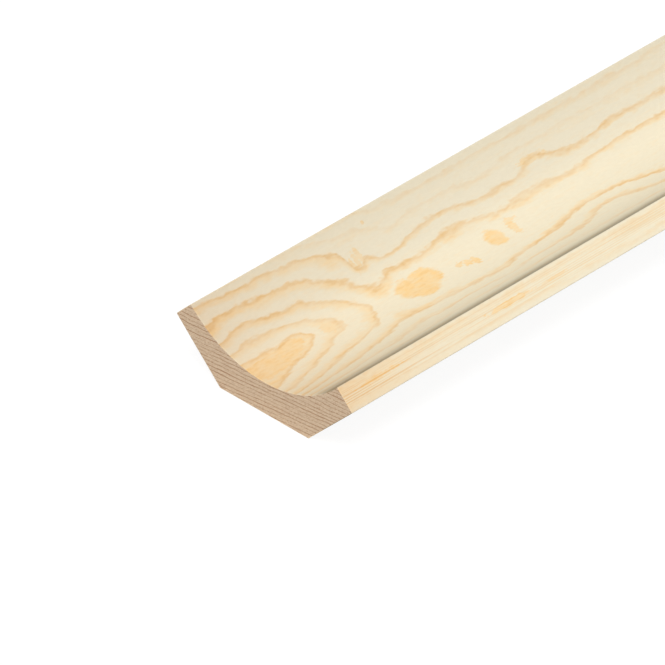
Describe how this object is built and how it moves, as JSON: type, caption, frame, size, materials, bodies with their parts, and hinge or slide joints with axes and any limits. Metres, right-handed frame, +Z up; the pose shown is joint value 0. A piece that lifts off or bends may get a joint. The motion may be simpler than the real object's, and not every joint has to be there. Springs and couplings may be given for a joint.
{
  "type": "scotia moulding",
  "caption": "Long straight pine scotia moulding: a concave cove face between two square noses, with two fixing faces and a flat back, for trimming an inside corner.",
  "frame": {"origin": "middle of the back land, on the surface that the stock lies on", "axes": "+X along the grain and the length, +Y across the section, +Z up out of the cove"},
  "size_m": [2.4, 0.0448, 0.0149],
  "materials": {
    "planed_pine": "planed, unfinished"
  },
  "bodies": {
    "root": {"scotia_moulding": "planed_pine"}
  },
  "joints": []
}
